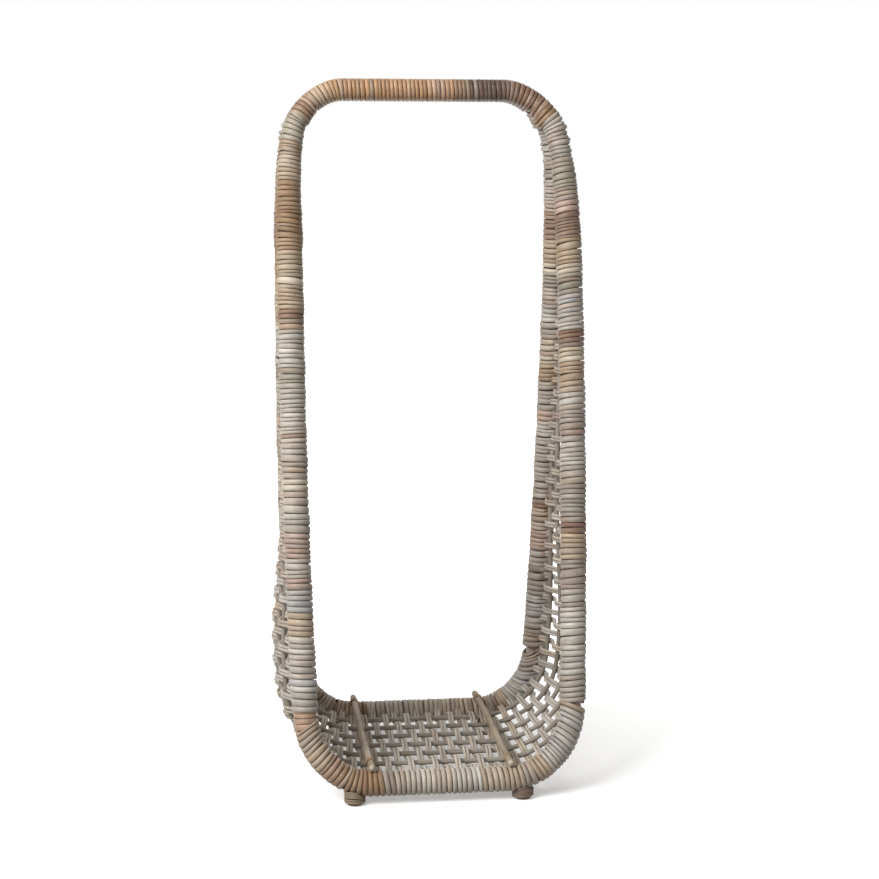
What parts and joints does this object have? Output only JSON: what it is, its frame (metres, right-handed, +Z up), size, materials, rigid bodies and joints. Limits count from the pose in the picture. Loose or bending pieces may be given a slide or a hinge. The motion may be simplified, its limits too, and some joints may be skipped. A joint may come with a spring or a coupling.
{
  "type": "firewood basket",
  "caption": "Tall open-ended rattan firewood basket: bent pole hoops bound with cane lean together under one handle, with a woven cradle between them.",
  "frame": {"origin": "on the floor, under the middle of the basket", "axes": "+Z up, -Y towards the viewer of the open front, +X to that viewer's right"},
  "size_m": [0.4548, 0.3856, 0.9923],
  "materials": {
    "handle_cane": "satin, warm tan bound cane",
    "upright_cane": "satin, weathered grey-brown bound cane",
    "bar_cane": "dull, pale grey-beige bound cane",
    "foot_cane": "dull, dark bound cane",
    "weave_cane": "dull, weathered woven cane",
    "pole_rattan": "satin, bare bent pole",
    "rib_rattan": "dull, round core cane",
    "runner_rattan": "satin, pale round pole",
    "foot_wood": "dull, cut wood",
    "nail_steel": "plain steel"
  },
  "bodies": {
    "root": {"handle_wrap": "handle_cane", "front_hoop_pole": "pole_rattan", "front_bar_wrap": "bar_cane", "front_left_corner_wrap": "bar_cane", "front_left_upright_wrap": "upright_cane", "front_left_shoulder_wrap": "upright_cane", "front_left_foot_peg": "foot_wood", "front_left_foot_wrap": "foot_cane", "front_left_foot_nail": "nail_steel", "front_right_corner_wrap": "bar_cane", "front_right_upright_wrap": "upright_cane", "front_right_shoulder_wrap": "upright_cane", "front_right_foot_peg": "foot_wood", "front_right_foot_wrap": "foot_cane", "front_right_foot_nail": "nail_steel", "back_hoop_pole": "pole_rattan", "back_bar_wrap": "bar_cane", "back_left_corner_wrap": "bar_cane", "back_left_upright_wrap": "upright_cane", "back_left_shoulder_wrap": "upright_cane", "back_left_foot_peg": "foot_wood", "back_left_foot_wrap": "foot_cane", "back_left_foot_nail": "nail_steel", "back_right_corner_wrap": "bar_cane", "back_right_upright_wrap": "upright_cane", "back_right_shoulder_wrap": "upright_cane", "back_right_foot_peg": "foot_wood", "back_right_foot_wrap": "foot_cane", "back_right_foot_nail": "nail_steel", "base_outer_weave": "weave_cane", "left_corner_outer_weave": "weave_cane", "left_wall_outer_weave": "weave_cane", "right_corner_outer_weave": "weave_cane", "right_wall_outer_weave": "weave_cane", "base_inner_weave": "weave_cane", "left_corner_inner_weave": "weave_cane", "left_wall_inner_weave": "weave_cane", "right_corner_inner_weave": "weave_cane", "right_wall_inner_weave": "weave_cane", "left_base_runner": "runner_rattan", "right_base_runner": "runner_rattan", "rib_1": "rib_rattan", "rib_2": "rib_rattan", "rib_3": "rib_rattan", "rib_4": "rib_rattan", "rib_5": "rib_rattan", "rib_6": "rib_rattan", "rib_7": "rib_rattan"}
  },
  "joints": []
}
